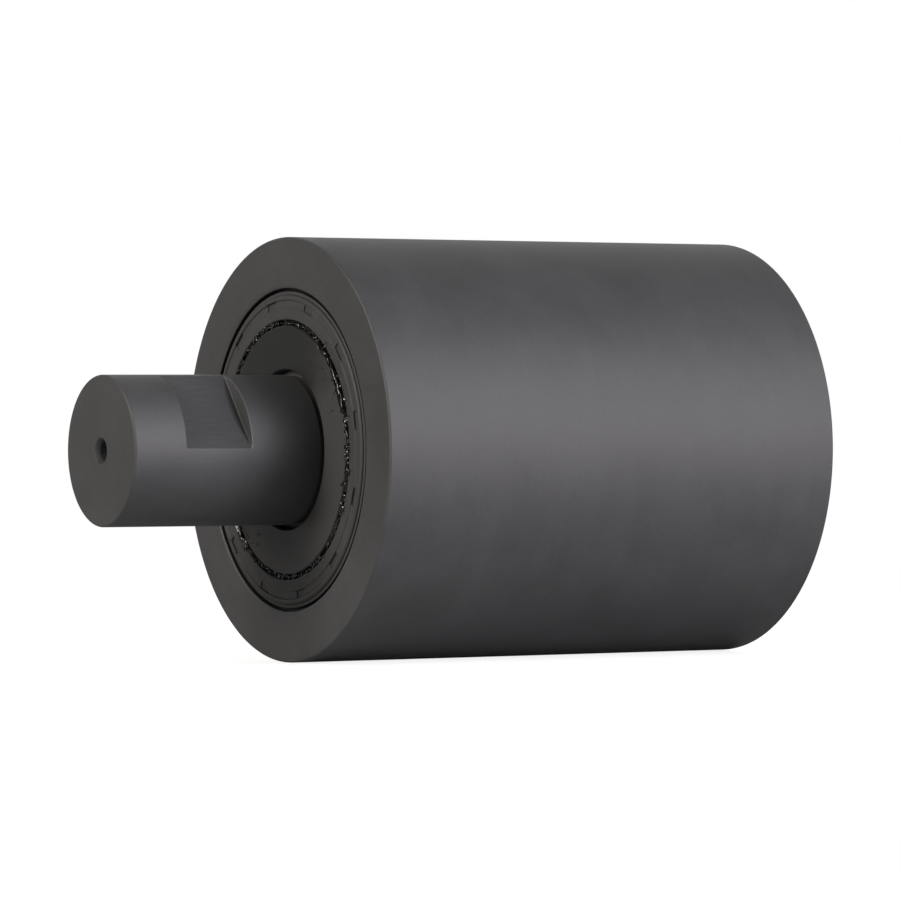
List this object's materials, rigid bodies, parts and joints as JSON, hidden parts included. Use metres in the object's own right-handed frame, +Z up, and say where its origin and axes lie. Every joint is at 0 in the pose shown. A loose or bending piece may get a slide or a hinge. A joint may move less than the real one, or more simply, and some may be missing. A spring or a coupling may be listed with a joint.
{
  "type": "conveyor roller",
  "caption": "Heavy cantilever roller: a thick steel shell turns on sealed ball bearings around a fixed stub shaft with a milled keeper slot and a lip seal.",
  "frame": {"origin": "on the roller's axis, at the middle of the stub journal's length", "axes": "+Y along the axis from the clamped stub to the closed end of the shell, +Z up, +X towards the side that the keeper slot faces"},
  "size_m": [0.085, 0.1445, 0.085],
  "materials": {
    "blackened_steel": "matte",
    "shaft_steel": "satin",
    "seal_rubber": "matte",
    "lip_rubber": "matte",
    "bearing_steel": "satin",
    "spring_steel": "satin",
    "ring_steel": "satin",
    "spacer_steel": "satin",
    "cage_nylon": "matte",
    "shield_rubber": "matte"
  },
  "bodies": {
    "shaft": {"shaft": "shaft_steel", "seal_sleeve": "seal_rubber", "inner_spacer": "spacer_steel", "end_washer": "spacer_steel", "shaft_retaining_ring": "ring_steel", "front_inner_race": "bearing_steel", "rear_inner_race": "bearing_steel"},
    "roller": {"shell": "blackened_steel", "seal_case": "seal_rubber", "seal_lip": "lip_rubber", "seal_spring": "spring_steel", "bore_retaining_ring": "ring_steel", "outer_spacer": "spacer_steel", "front_outer_race": "bearing_steel", "front_shield_near": "shield_rubber", "front_shield_far": "shield_rubber", "rear_outer_race": "bearing_steel", "rear_shield_near": "shield_rubber", "rear_shield_far": "shield_rubber"},
    "front_ball_set": {"front_balls": "bearing_steel", "front_cage": "cage_nylon"},
    "rear_ball_set": {"rear_balls": "bearing_steel", "rear_cage": "cage_nylon"}
  },
  "joints": [
    {"name": "roller_spin", "type": "hinge", "parent": "shaft", "child": "roller", "pos_m": [0, 0, 0], "axis": [0, 1, 0], "continuous": true},
    {"name": "front_balls_orbit", "type": "hinge", "parent": "shaft", "child": "front_ball_set", "pos_m": [0, 0, 0], "axis": [0, 1, 0], "continuous": true},
    {"name": "rear_balls_orbit", "type": "hinge", "parent": "shaft", "child": "rear_ball_set", "pos_m": [0, 0, 0], "axis": [0, 1, 0], "continuous": true}
  ],
  "couplings": [
    {"joint": "front_balls_orbit", "follows": "roller_spin", "ratio": 0.60353},
    {"joint": "rear_balls_orbit", "follows": "roller_spin", "ratio": 0.60353}
  ]
}
